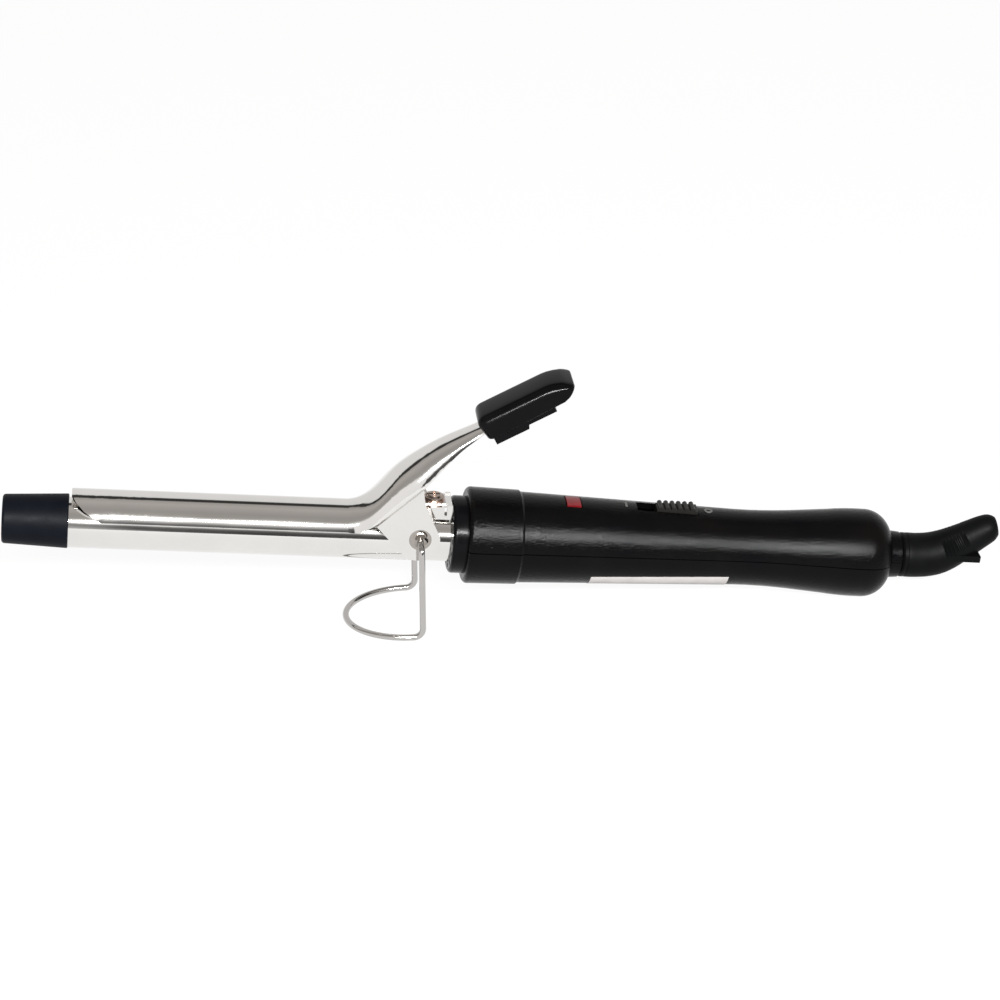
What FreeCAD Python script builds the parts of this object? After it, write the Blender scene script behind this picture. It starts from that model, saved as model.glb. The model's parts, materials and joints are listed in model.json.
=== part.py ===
"""Curling iron with a spring clamp, a wire rest, a slide switch and a swivel cord outlet.

Every piece is drawn in a frame of its own: the iron's frame has X along the iron from the tip to the
cord boot, Z up through the clamp and Y across it. The barrel lies a little below that line, the
handle droops a little behind the collar, and the thumb rest and the wire rest have tilted frames.
The last step sets the whole iron down on its wire rest and the belly of the handle.
"""
import FreeCAD, Part
import math
import os
import re

import Sketcher
from FreeCAD import Placement, Rotation, Vector

SIZES = {
    # tip and barrel
    "cap_front_radius": 7.7, "cap_rear_radius": 8.55, "cap_length": 20.4, "cap_edge": 1.0,
    "cap_wall": 1.6, "cap_spigot": 9.0, "cap_drop": 0.45,
    "barrel_radius": 8.0, "barrel_wall": 0.8, "barrel_end": 166.0, "barrel_drop": 0.85,
    # heater inside the barrel
    "heater_start": 42.0, "heater_end": 122.0, "spreader_radius": 7.0, "heater_gap": 1.7,
    "film_width": 10.6, "film_height": 3.3, "film_wall": 0.15,
    "chip_length": 17.5, "chip_width": 9.0, "chip_height": 2.2, "chip_pitch": 19.0,
    "plate_width": 9.6, "plate_thick": 0.35,
    # clamp sheet
    "sheet": 0.8, "clamp_front": 21.2, "clamp_half_width": 8.7, "clamp_top": 10.2,
    "clamp_edge": 3.7, "clamp_bend": 107.0, "clamp_slope": 70, "tongue_half": 2.0, "tongue_length": 9.7,
    "tongue_curve": 9.5,
    # hinge bracket, saddle and pivot
    "pivot_x": 129.6, "pivot_z": 3.0, "ear_inside": 9.85, "ear_sheet": 0.8, "ear_lobe": 6.9,
    "ear_low_x": 115.6, "ear_low_z": 7.0, "ear_high_x": 129.3, "ear_high_z": 20.4,
    "saddle_front": 126.0, "saddle_rear": 139.6, "saddle_half": 5.0, "saddle_top": 11.9,
    "saddle_skirt": 4.3, "arm_outside": 9.6, "arm_shoulder": 9.2, "arm_lobe": 5.0,
    "eyelet_radius": 2.2, "eyelet_bore": 1.05, "eyelet_head": 3.55, "eyelet_dome": 1.5,
    "screw_x": 134.0, "screw_radius": 1.25, "screw_head": 3.1, "screw_dome": 1.3,
    "washer_radius": 3.3, "washer_thick": 0.5, "spring_sheet": 0.4, "spring_width": 6.0,
    # thumb rest
    "thumb_x": 147.0, "thumb_z": 39.0, "thumb_rise": 31.5, "thumb_width": 14.4,
    "thumb_length": 31.4, "thumb_top": 5.0, "thumb_bottom": -3.5, "tongue_run": 23.0,
    "rivet_radius": 0.85, "front_rivet": 7.0, "rear_rivet": 18.0,
    # wire rest
    "wire_radius": 1.0, "stand_half": 16.2, "stand_bend": 3.0, "stand_reach": 23.5,
    "leg_drop": 31.82,
    # handle
    "ring_front": 139.9, "ring_radius": 12.35, "collar_front": 144.6, "collar_radius": 15.4,
    "collar_rear": 161.4, "grip_start_radius": 14.5, "waist_radius": 12.3, "belly_radius": 14.2,
    "belly_x": 274.8, "shoulder_radius": 8.6, "grip_end": 286.6, "shell_wall": 2.0,
    "upper_sweep": 168.4, "lower_sweep": 189.2, "handle_droop": 0.5, "ring_spigot": 12.1,
    "outlet_bore": 5.0,
    # switch and lamp
    "slot_front": 198.9, "slot_rear": 218.8, "slot_width": 5.6, "knob_rear": 218.5,
    "knob_length": 13.2, "knob_width": 5.1, "knob_base": 13.3, "knob_ridge": 1.1,
    "knob_ridges": 6, "ridge_pitch": 2.05, "lens_x": 178.3, "lens_length": 4.5,
    "lens_width": 6.6, "lens_gap": 0.4,
    # swivel and boot
    "neck_radius": 7.2, "neck_end": 288.8, "shaft_radius": 4.92, "flange_radius": 8.5,
    "flange_thick": 2.4, "cord_bore": 2.6, "cord_run": 13.0, "cord_rise": 30,
    "prong_width": 12.8, "prong_thick": 2.2, "prong_reach": 312.7, "prong_base": 1.5,
    # how the iron stands
    "nose_up": 5.75,
}

doc = FreeCAD.newDocument("curling_iron")
sheet = doc.addObject("Spreadsheet::Sheet", "sizes")
for row, (alias, size) in enumerate(SIZES.items(), start=1):
    sheet.set(f"A{row}", alias)
    sheet.set(f"B{row}", str(size))
    sheet.setAlias(f"B{row}", alias)
doc.recompute()

pieces = {}


def size_of(text):
    """The value in millimetres or degrees of an expression in the sheet's names."""
    return float(sheet.evalExpression(text))


def on_sheet(text):
    """The same expression as another object of the document has to write it."""
    return re.sub(r"[a-z_]+", lambda word: "sizes." + word[0] if word[0] in SIZES else word[0], text)


def broken(item):
    return {"Invalid", "Error"} & set(item.State)


def keep(label, item, home="iron"):
    """Registers a finished sub-part under its own name, with the frame that it was drawn in."""
    item.Label = label
    pieces[label] = (item, home)
    return item


def new_body(name):
    return doc.addObject("PartDesign::Body", name)


def new_sketch(body, plane, name, offset="0"):
    """A sketch on one of the body's own origin planes, moved along the plane's normal."""
    sketch = body.newObject("Sketcher::SketchObject", name)
    origin_plane = next(f for f in body.Origin.OriginFeatures if f.Role == plane)
    sketch.AttachmentSupport = [(origin_plane, "")]
    sketch.MapMode = "FlatFace"
    sketch.setExpression("AttachmentOffset.Base.z", on_sheet(offset))
    return sketch


def bind(sketch, constraint, text):
    index = sketch.addConstraint(constraint)
    sketch.setExpression(f"Constraints[{index}]", on_sheet(text))


def arc_through(start, end, radius, turn):
    """The arc from start to end that turns left or right, written anticlockwise."""
    chord = end - start
    half = chord.Length / 2
    side = 1 if turn == "left" else -1
    normal = Vector(-chord.y, chord.x, 0).normalize() * side
    centre = (start + end) / 2 + normal * math.sqrt(max(radius ** 2 - half ** 2, 0))
    first, last = (start, end) if turn == "left" else (end, start)
    angles = [math.atan2(p.y - centre.y, p.x - centre.x) for p in (first, last)]
    if angles[1] < angles[0]:
        angles[1] += 2 * math.pi
    return Part.ArcOfCircle(Part.Circle(centre, Vector(0, 0, 1), radius), *angles)


def draw_outline(sketch, outline):
    """Closes the corners of an outline with lines, or arcs where a corner says how to reach it.

    A corner is (x, y), or (x, y, turn, radius) when an arc leads to it from the corner before.
    Every number is an expression in the sheet's names, and each one becomes a constraint.
    """
    first_edge = sketch.GeometryCount
    spots = [Vector(size_of(c[0]), size_of(c[1]), 0) for c in outline]
    ends = []
    for n, corner in enumerate(outline):
        start, end, target = spots[n], spots[(n + 1) % len(spots)], outline[(n + 1) % len(spots)]
        if len(target) == 4:
            sketch.addGeometry(arc_through(start, end, size_of(target[3]), target[2]))
            ends.append((1, 2) if target[2] == "left" else (2, 1))
        else:
            sketch.addGeometry(Part.LineSegment(start, end))
            ends.append((1, 2))
    for n, corner in enumerate(outline):
        edge, after = first_edge + n, first_edge + (n + 1) % len(outline)
        next_start = ends[(n + 1) % len(outline)][0]
        sketch.addConstraint(Sketcher.Constraint("Coincident", edge, ends[n][1], after, next_start))
        place = (-1, 1, edge, ends[n][0])
        bind(sketch, Sketcher.Constraint("DistanceX", *place, spots[n].x), corner[0])
        bind(sketch, Sketcher.Constraint("DistanceY", *place, spots[n].y), corner[1])
        target = outline[(n + 1) % len(outline)]
        if len(target) == 4:
            bind(sketch, Sketcher.Constraint("Radius", edge, size_of(target[3])), target[3])


def draw_circle(sketch, x, y, radius):
    centre = Vector(size_of(x), size_of(y), 0)
    edge = sketch.addGeometry(Part.Circle(centre, Vector(0, 0, 1), size_of(radius)))
    bind(sketch, Sketcher.Constraint("DistanceX", -1, 1, edge, 3, centre.x), x)
    bind(sketch, Sketcher.Constraint("DistanceY", -1, 1, edge, 3, centre.y), y)
    bind(sketch, Sketcher.Constraint("Radius", edge, size_of(radius)), radius)


def rectangle(left, low, right, high):
    return [(left, low), (right, low), (right, high), (left, high)]


def revolve(body, name, outline, sweep=None):
    """Turns an outline of the XZ plane about X, all the way round or evenly about that plane."""
    sketch = new_sketch(body, "XZ_Plane", name + "_section")
    draw_outline(sketch, outline)
    turned = body.newObject("PartDesign::Revolution", name)
    turned.Profile = sketch
    turned.ReferenceAxis = (sketch, ["H_Axis"])
    turned.Angle = 360
    if sweep:
        turned.Midplane = True
        turned.setExpression("Angle", on_sheet(sweep))
    return turned


def pad(body, name, plane, draw, length, offset="0", both_ways=False):
    """Pads what draw(sketch) draws, away from the plane or evenly about it."""
    sketch = new_sketch(body, plane, name + "_section", offset)
    draw(sketch)
    block = body.newObject("PartDesign::Pad", name)
    block.Profile = sketch
    block.setExpression("Length", on_sheet(length))
    block.SideType = "Symmetric" if both_ways else "One side"
    return block


def pocket(body, name, plane, draw, length, offset="0", both_ways=False, backward=False):
    """Cuts what draw(sketch) draws, and stops if nothing was cut."""
    doc.recompute()
    before = body.Shape.Volume
    sketch = new_sketch(body, plane, name + "_section", offset)
    draw(sketch)
    hole = body.newObject("PartDesign::Pocket", name)
    hole.Profile = sketch
    hole.setExpression("Length", on_sheet(length))
    hole.SideType = "Symmetric" if both_ways else "One side"
    hole.Reversed = backward
    doc.recompute()
    if body.Shape.Volume > before - 1e-3:
        raise RuntimeError(f"{name} cuts nothing")
    return hole


def outlined(outline):
    return lambda sketch: draw_outline(sketch, outline)


def circled(x, y, radius):
    return lambda sketch: draw_circle(sketch, x, y, radius)


def cylinder(name, radius, length, x="0", y="0", z="0", toward="Z"):
    """A Part cylinder that starts at a point and runs along one of the frame's axes."""
    rod = doc.addObject("Part::Cylinder", name)
    rod.setExpression("Radius", on_sheet(radius))
    rod.setExpression("Height", on_sheet(length))
    axis = {"X": Vector(1, 0, 0), "Y": Vector(0, 1, 0), "Z": Vector(0, 0, 1)}[toward]
    rod.Placement = Placement(Vector(), Rotation(Vector(0, 0, 1), axis))
    for letter, text in zip("xyz", (x, y, z)):
        rod.setExpression(f"Placement.Base.{letter}", on_sheet(text))
    return rod


def box(name, x, y, z, length, width, height):
    """A Part box that starts at x and z and is centred across on y."""
    block = doc.addObject("Part::Box", name)
    block.setExpression("Length", on_sheet(length))
    block.setExpression("Width", on_sheet(width))
    block.setExpression("Height", on_sheet(height))
    for letter, text in zip("xyz", (x, f"({y}) - ({width}) / 2", z)):
        block.setExpression(f"Placement.Base.{letter}", on_sheet(text))
    return block


def cut(name, base, tool):
    result = doc.addObject("Part::Cut", name)
    result.Base = base
    result.Tool = tool
    return result


def fuse(name, items):
    result = doc.addObject("Part::MultiFuse", name)
    result.Shapes = items
    return result


def group(name, items):
    """Separate solids kept as one node, for things that come in sets."""
    result = doc.addObject("Part::Compound", name)
    result.Links = items
    return result


# --------------------------------------------------------------------------- tip and barrel

def tip_cap():
    """A hollow plastic cap whose spigot plugs the barrel's open end."""
    spigot = "barrel_radius - barrel_wall - 0.05"
    end = "cap_length + cap_spigot"
    body = new_body("tip_cap")
    revolve(body, "cap_turned", [
        ("0", "0"), ("0", "cap_front_radius - cap_edge"),
        ("cap_edge", "cap_front_radius", "right", "cap_edge"),
        ("cap_length - 0.3", "cap_rear_radius"), ("cap_length", "cap_rear_radius - 0.3"),
        ("cap_length", "0"),
    ])
    pad(body, "spigot", "YZ_Plane", circled("0", "cap_drop - barrel_drop", spigot), "cap_spigot + 1",
        offset="cap_length - 1")
    pocket(body, "cavity", "YZ_Plane", circled("0", "cap_drop - barrel_drop", spigot + " - cap_wall"),
           f"{end} - 3", offset=end)
    keep("tip_cap", body, "cap")


def barrel_tube():
    """The plated tube, with a hole on top for the saddle screw."""
    body = new_body("barrel_tube")
    revolve(body, "tube", rectangle("cap_length", "barrel_radius - barrel_wall",
                                    "barrel_end", "barrel_radius"))
    pocket(body, "screw_hole", "XY_Plane", circled("screw_x", "0", "screw_radius + 0.1"),
           "barrel_radius + 1", offset="barrel_radius + 1")
    keep("barrel_tube", body, "barrel")


def heat_spreaders():
    """Two aluminium half rounds that press the heater's flat stack against the barrel."""
    half = math.sqrt(size_of("spreader_radius") ** 2 - size_of("heater_gap") ** 2)
    for name, side in (("upper_heat_spreader", 1), ("lower_heat_spreader", -1)):
        body = new_body(name)
        outline = [(f"{half}", f"{side} * heater_gap"),
                   (f"-{half}", f"{side} * heater_gap", "left" if side > 0 else "right",
                    "spreader_radius")]
        pad(body, name + "_bar", "YZ_Plane", outlined(outline), "heater_end - heater_start",
            offset="heater_start")
        groove_z = f"{side} * (spreader_radius + 0.5)"
        pocket(body, name + "_groove", "YZ_Plane", circled("0", groove_z, "2"),
               "heater_end - heater_start + 2", offset="heater_end + 1")
        keep(name, body, "barrel")


def heater_stack():
    """Ceramic chips between two contact plates, wrapped in an insulating film sleeve."""
    span = "heater_end - heater_start"
    outer = box("film_outer", "heater_start - 2", "0", "-film_height / 2", span + " + 4",
                "film_width", "film_height")
    inner = box("film_inner", "heater_start - 3", "0", "-film_height / 2 + film_wall",
                span + " + 6", "film_width - 2 * film_wall", "film_height - 2 * film_wall")
    keep("insulating_film", cut("insulating_film", outer, inner), "barrel")
    for name, low in (("upper_contact_plate", "chip_height / 2"),
                      ("lower_contact_plate", "-chip_height / 2 - plate_thick")):
        plate = box(name, "heater_start", "0", low, span + " + 6", "plate_width", "plate_thick")
        keep(name, plate, "barrel")
    chips = [box(f"chip_{n}", f"heater_start + 2 + {n} * chip_pitch", "0", "-chip_height / 2",
                 "chip_length", "chip_width", "chip_height") for n in range(4)]
    keep("heater_chips", group("heater_chips", chips), "barrel")


def heater_leads():
    """Two sleeved wires from the contact plates back to the switch."""
    wires = [cylinder(f"heater_lead_{n}", "0.9", "71", "heater_end + 7", f"{side} * 5.2", "-1.2",
                      "X") for n, side in enumerate((-1, 1))]
    keep("heater_leads", group("heater_leads", wires), "barrel")


# --------------------------------------------------------------------------- clamp

def arch(apex, lean, half_width, depth, foot_slope=90):
    """A closed arch of sheet in the plane that leans back from upright by lean degrees.

    It is part of an oval whose sides reach foot_slope degrees from level at the arch's feet.
    """
    thick = size_of("sheet")
    down = Vector(math.sin(math.radians(lean)), 0, -math.cos(math.radians(lean)))
    across = Vector(0, 1, 0)
    turn = math.radians(foot_slope)
    middle = apex + down * (depth / (1 - math.cos(turn)))

    def side(inset):
        width = half_width / math.sin(turn) - inset
        height = depth / (1 - math.cos(turn)) - inset
        points = [middle + across * width * math.sin(a) - down * height * math.cos(a)
                  for a in (turn * n / 5 for n in range(-5, 6))]
        curve = Part.BSplineCurve()
        curve.interpolate(points)
        return curve.toShape(), points[0], points[-1]

    outer, inner = side(0), side(thick)
    lips = [Part.makeLine(outer[n], inner[n]) for n in (1, 2)]
    return Part.Wire(Part.__sortEdges__([outer[0], lips[0], inner[0], lips[1]]))


def clamp_plate():
    """One sheet pressing: a spoon over the barrel that rises into a neck under the thumb rest."""
    front, bend = size_of("clamp_front"), size_of("clamp_bend")
    half, top, slope = size_of("clamp_half_width"), size_of("clamp_top"), size_of("clamp_slope")
    depth = top - size_of("clamp_edge")
    start = arch(Vector(front, 0, top), 0, half, depth, slope)
    spoon = Part.Face(start).extrude(Vector(bend - front, 0, 0))
    tongue, reach = size_of("tongue_half"), size_of("tongue_length")
    corner = Vector(front + reach, half + 0.4, 0)
    curve = arc_through(Vector(front, tongue, 0), corner, size_of("tongue_curve"), "right").toShape()
    mirrored = curve.mirror(Vector(), Vector(0, 1, 0))
    rear = [Vector(bend + 1, half + 0.4, 0), Vector(bend + 1, -half - 0.4, 0)]
    sides = [Part.makeLine(corner, rear[0]), Part.makeLine(rear[0], rear[1]),
             Part.makeLine(rear[1], Vector(corner.x, -corner.y, 0)),
             Part.makeLine(Vector(front, tongue, 0), Vector(front, -tongue, 0))]
    plan = Part.Face(Part.Wire(Part.__sortEdges__([curve, mirrored] + sides)))
    spoon = spoon.common(plan.extrude(Vector(0, 0, 2 * top)))
    # the lower front corners are trimmed back, as distances behind the front and heights
    trim = [(-1, 1), (11.5, 1), (11, 3.05), (8.2, 4.2), (3.9, 6.6), (1.8, 8.4), (-1, 8.4)]
    corners = [Vector(front + x, -20, z) for x, z in trim]
    trimmed = Part.Face(Part.makePolygon(corners + corners[:1])).extrude(Vector(0, 40, 0))
    spoon = spoon.cut(trimmed)
    # apex x and z, backward lean, half width, depth and foot slope, from spoon to tongue
    stations = [(bend, top, 0, half, depth, slope), (110.2, 11.0, 14, 8.85, 6.9, 76),
                (113.6, 13.4, 32, 9.3, 6.3, 82), (118.7, 19.8, 42, 9.7, 7.2, 88),
                (124.2, 25.5, 40, 9.5, 7.5, 88), (129.8, 29.9, 33, 8.2, 6.6, 88),
                (134.6, 33.1, 31.5, 6.9, 5.0, 86), (139.4, 35.8, 31.5, 5.7, 3.5, 84),
                (147.0, 40.2, 31.5, 4.5, 1.9, 80)]
    arches = [arch(Vector(x, 0, z), *rest) for x, z, *rest in stations]
    neck = Part.makeLoft(arches, True, False)
    rise = math.radians(size_of("thumb_rise"))
    along, up = Vector(math.cos(rise), 0, math.sin(rise)), Vector(-math.sin(rise), 0, math.cos(rise))
    tongue = Part.Face(arches[-1]).extrude(along * size_of("tongue_run"))
    seat = Vector(size_of("thumb_x"), 0, size_of("thumb_z"))
    holes = [Part.makeCylinder(size_of("rivet_radius") + 0.1, 12, seat + along * x - up * 6, up)
             for x in rivet_places()]
    plate = doc.addObject("Part::Feature", "clamp_plate")
    plate.Shape = spoon.fuse([neck, tongue]).cut(holes)
    keep("clamp_plate", plate)


def rivet_places():
    return size_of("front_rivet"), size_of("rear_rivet")


def hinge_bracket():
    """A bent plate welded under the neck, whose two ears reach down to the pivot."""
    low, high = ("ear_low_x", "ear_low_z"), ("ear_high_x", "ear_high_z")
    body = new_body("hinge_bracket")
    foot = (low[0] + " + 1.5", low[1] + " + 1.5")
    web = [foot, high, (high[0], high[1] + " - 1.1"), (foot[0] + " + 0.8", foot[1] + " - 0.4")]
    pad(body, "web", "XZ_Plane", outlined(web), "2 * ear_inside + 0.4", both_ways=True)
    lobe = [low,
            ("pivot_x - 4.4", "pivot_z - 6.2"),
            ("pivot_x + 6", "pivot_z + 1.5", "left", "ear_lobe"),
            ("pivot_x + 3.7", "pivot_z + 6"), (*high, "right", "25")]
    for side, start in (("near", "ear_inside"), ("far", "-ear_inside - ear_sheet")):
        pad(body, side + "_ear", "XZ_Plane", outlined(lobe), "ear_sheet", offset=start)
    pocket(body, "pivot_holes", "XZ_Plane", circled("pivot_x", "pivot_z", "eyelet_radius + 0.05"),
           "3 * ear_inside", both_ways=True)
    keep("hinge_bracket", body)


def thumb_rest():
    """A moulded cover over the neck's tongue, with a clip plate and two screws under it."""
    cover = new_body("thumb_rest_cover")
    profile = [("0", "thumb_bottom"), ("thumb_length - 4", "thumb_bottom + 1"),
               ("thumb_length", "0.4"), ("thumb_length - 5", "thumb_top", "left", "5"),
               ("1", "thumb_top"), ("0", "thumb_top - 1", "left", "1")]
    block = pad(cover, "cover_block", "XZ_Plane", outlined(profile), "thumb_width", both_ways=True)
    doc.recompute()
    edges = [f"Edge{n}" for n, edge in enumerate(cover.Shape.Edges, start=1)
             if edge.CenterOfMass.z > 0 and abs(edge.CenterOfMass.y) > 1]
    rounding = cover.newObject("PartDesign::Fillet", "cover_rounding")
    rounding.Base = (block, edges)
    rounding.Radius = 1.5
    hollow = rectangle("-1", "thumb_bottom - 1", "25.5", "2.3")
    pocket(cover, "cover_hollow", "XZ_Plane", outlined(hollow), "9.4", both_ways=True)
    keep("thumb_rest_cover", cover, "thumb")
    plate = new_body("thumb_rest_clip")
    steps = [("1.4", "-6.2"), ("12.6", "-6.2"), ("13.2", "-4.9"), ("22.8", "-4.9"),
             ("22.8", "-1.1"), ("1.4", "-1.1")]
    pad(plate, "clip_block", "XZ_Plane", outlined(steps), "9.2", both_ways=True)
    rivets = []
    for n, (at, under) in enumerate((("front_rivet", "-6.2"), ("rear_rivet", "-4.9"))):
        pocket(plate, f"clip_hole_{n}", "XY_Plane", circled(at, "0", "rivet_radius + 0.05"), "12",
               offset="4")
        shank = cylinder(f"rivet_shank_{n}", "rivet_radius", f"1.9 - ({under})", at, "0", under)
        head = cylinder(f"rivet_head_{n}", "2 * rivet_radius", "0.6", at, "0", f"{under} - 0.6")
        rivets.append(fuse(f"thumb_rivet_{n}", [shank, head]))
    keep("thumb_rest_clip", plate, "thumb")
    keep("thumb_rest_rivets", group("thumb_rest_rivets", rivets), "thumb")


def leaf_spring():
    """A bent strip: its foot is under the saddle screw, its arm pushes the neck up."""
    thick, width = size_of("spring_sheet"), size_of("spring_width")
    level = size_of("saddle_top") + thick / 2
    foot = Vector(size_of("screw_x") + 3.6, 0, level)
    front = Vector(size_of("screw_x") - 3, 0, level)
    bend, lean = 1.8, math.radians(75)
    centre = front + Vector(0, 0, bend)
    middle = centre + Vector(-bend, 0, 0)
    rise = centre + Vector(-bend * math.sin(lean), 0, bend * math.cos(lean))
    tip = rise + Vector(math.cos(lean), 0, math.sin(lean)) * 15.8
    path = Part.Wire([Part.makeLine(foot, front), Part.Arc(front, middle, rise).toShape(),
                      Part.makeLine(rise, tip)])
    corners = [foot + Vector(0, y, z) for y, z in ((-width / 2, -thick / 2), (width / 2, -thick / 2),
                                                   (width / 2, thick / 2), (-width / 2, thick / 2))]
    section = Part.makePolygon(corners + corners[:1])
    strip = path.makePipeShell([section], True, True)
    hole = Part.makeCylinder(size_of("screw_radius") + 0.1, 4 * thick,
                             Vector(size_of("screw_x"), 0, level - 2 * thick))
    spring = doc.addObject("Part::Feature", "leaf_spring")
    spring.Shape = strip.cut(hole)
    keep("leaf_spring", spring)


# --------------------------------------------------------------------------- saddle and pivot

def saddle_bracket():
    """An inverted channel above the barrel, whose arms carry the pivot eyelets."""
    body = new_body("saddle_bracket")
    inside, skirt = "saddle_half - sheet", "saddle_top - saddle_skirt"
    channel = [("-saddle_half", skirt), ("-saddle_half", "saddle_top"),
               ("saddle_half", "saddle_top"), ("saddle_half", skirt), (inside, skirt),
               (inside, "saddle_top - sheet"), (f"-({inside})", "saddle_top - sheet"),
               (f"-({inside})", skirt)]
    pad(body, "channel", "YZ_Plane", outlined(channel), "saddle_rear - saddle_front",
        offset="saddle_front")
    for name, side in (("near_arm", -1), ("far_arm", 1)):
        arm = [(f"{side} * ({inside})", "arm_shoulder - sheet"),
               (f"{side} * ({inside})", "arm_shoulder"), (f"{side} * arm_outside", "arm_shoulder"),
               (f"{side} * arm_outside", "pivot_z - arm_lobe"),
               (f"{side} * (arm_outside - sheet)", "pivot_z - arm_lobe"),
               (f"{side} * (arm_outside - sheet)", "arm_shoulder - sheet")]
        pad(body, name, "YZ_Plane", outlined(arm), "2 * (pivot_x - saddle_front)",
            offset="saddle_front")
    pocket(body, "eyelet_holes", "XZ_Plane", circled("pivot_x", "pivot_z", "eyelet_radius"),
           "3 * arm_outside", both_ways=True)
    pocket(body, "screw_hole", "XY_Plane", circled("screw_x", "0", "screw_radius + 0.1"), "4",
           offset="saddle_top + 1")
    lug = [("saddle_rear - 1.7", "saddle_top - 1"), ("saddle_rear", "saddle_top - 1"),
           ("saddle_rear", "saddle_top + 0.5"), ("saddle_rear - 1.7", "saddle_top + 0.5")]
    for name, start in (("near_lug", inside), ("far_lug", "-saddle_half")):
        pad(body, name, "XZ_Plane", outlined(lug), "sheet", offset=start)
    notch = rectangle("saddle_rear - 2.5", "saddle_top - 3", "saddle_rear - 1.7", "saddle_top - 0.2")
    pocket(body, "notches", "XZ_Plane", outlined(notch), "3 * saddle_half", both_ways=True)
    keep("saddle_bracket", body)


def saddle_fasteners():
    """The screw that holds the saddle and spring down, its washer and its spacer."""
    seat = "saddle_top + spring_sheet"
    drop = size_of("barrel_drop")
    reach = size_of("barrel_radius")
    column = cylinder("spacer_column", "2.8", "saddle_top - sheet - 5", "screw_x", "0", "5")
    bore = cylinder("spacer_bore", "screw_radius + 0.15", "20", "screw_x", "0", "0")
    seat_cut = cylinder("spacer_seat", f"{reach} + 0.01", "20", "screw_x - 10", "0", f"-{drop}", "X")
    keep("saddle_spacer", cut("saddle_spacer", cut("spacer_tube", column, bore), seat_cut))
    disc = cylinder("washer_disc", "washer_radius", "washer_thick", "screw_x", "0", seat)
    hole = cylinder("washer_hole", "screw_radius + 0.15", "3", "screw_x", "0", seat + " - 1")
    keep("saddle_washer", cut("saddle_washer", disc, hole))
    body = new_body("saddle_screw")
    top = seat + " + washer_thick"
    profile = [("3.4", "0"), ("3.4", "screw_radius"), (top, "screw_radius"),
               (top, "screw_head"), (top + " + 0.7", "screw_head"),
               (top + " + screw_dome", "screw_head * 0.62", "left", "screw_dome * 1.15"),
               (top + " + screw_dome", "0")]
    revolve(body, "screw_turned", profile)
    for n, (long, wide) in enumerate((("3.6", "0.7"), ("0.7", "3.6"))):
        slot = rectangle(f"-{wide} / 2", f"-{long} / 2", f"{wide} / 2", f"{long} / 2")
        pocket(body, f"cross_{n}", "YZ_Plane", outlined(slot), "1.2",
               offset=top + " + screw_dome + 0.01")
    keep("saddle_screw", body, "screw")


def pivot_eyelets():
    """Hollow rivets with domed heads that hold the ears to the saddle's arms."""
    inner = "arm_outside - sheet"
    outer = "ear_inside + ear_sheet + 0.05"
    for name, home in (("left_pivot_eyelet", "left_pivot"), ("right_pivot_eyelet", "right_pivot")):
        body = new_body(name)
        profile = [(inner + " - 0.4", "eyelet_bore"), (inner + " - 0.4", "eyelet_radius + 0.8"),
                   (inner, "eyelet_radius + 0.8"), (inner, "eyelet_radius - 0.02"),
                   (outer, "eyelet_radius - 0.02"), (outer, "eyelet_head"),
                   (outer + " + eyelet_dome", "eyelet_bore + 0.5", "left", "2.6"),
                   (outer + " + eyelet_dome", "eyelet_bore")]
        revolve(body, name + "_turned", profile)
        keep(name, body, home)


def wire_rest():
    """A round wire from one eyelet down, forward round a level loop and back up to the other."""
    half, bend = size_of("stand_half"), size_of("stand_bend")
    drop, reach, radius = size_of("leg_drop"), size_of("stand_reach"), size_of("wire_radius")
    inner = size_of("arm_outside") - 0.4
    turn = bend * math.sqrt(0.5)

    def leg(side):
        top = Vector(0, side * (half - bend), 0)
        outside = Vector(0, side * half, -bend)
        low = Vector(0, side * half, bend - drop)
        shoulder = Vector(0, side * (half - bend + turn), -bend + turn)
        ankle = Vector(-bend + turn, side * half, bend - turn - drop)
        forward = Vector(-bend, side * half, -drop)
        return [Part.makeLine(Vector(0, side * inner, 0), top),
                Part.Arc(top, shoulder, outside).toShape(), Part.makeLine(outside, low),
                Part.Arc(low, ankle, forward).toShape()]

    middle = Vector(-bend, 0, -drop)
    oval = Part.Ellipse(middle + Vector(-(reach - bend), 0, 0), middle + Vector(0, half, 0), middle)
    loop = Part.ArcOfEllipse(oval, -math.pi / 2, math.pi / 2).toShape()
    route = Part.Wire(Part.__sortEdges__(leg(-1) + [loop] + leg(1)))
    start = route.OrderedVertexes[0].Point
    ring = Part.Wire(Part.makeCircle(radius, start, Vector(0, 1, 0)))
    rest = doc.addObject("Part::Feature", "wire_rest")
    rest.Shape = route.makePipeShell([ring], True, False)
    keep("wire_rest", rest, "stand")


# --------------------------------------------------------------------------- handle

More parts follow.
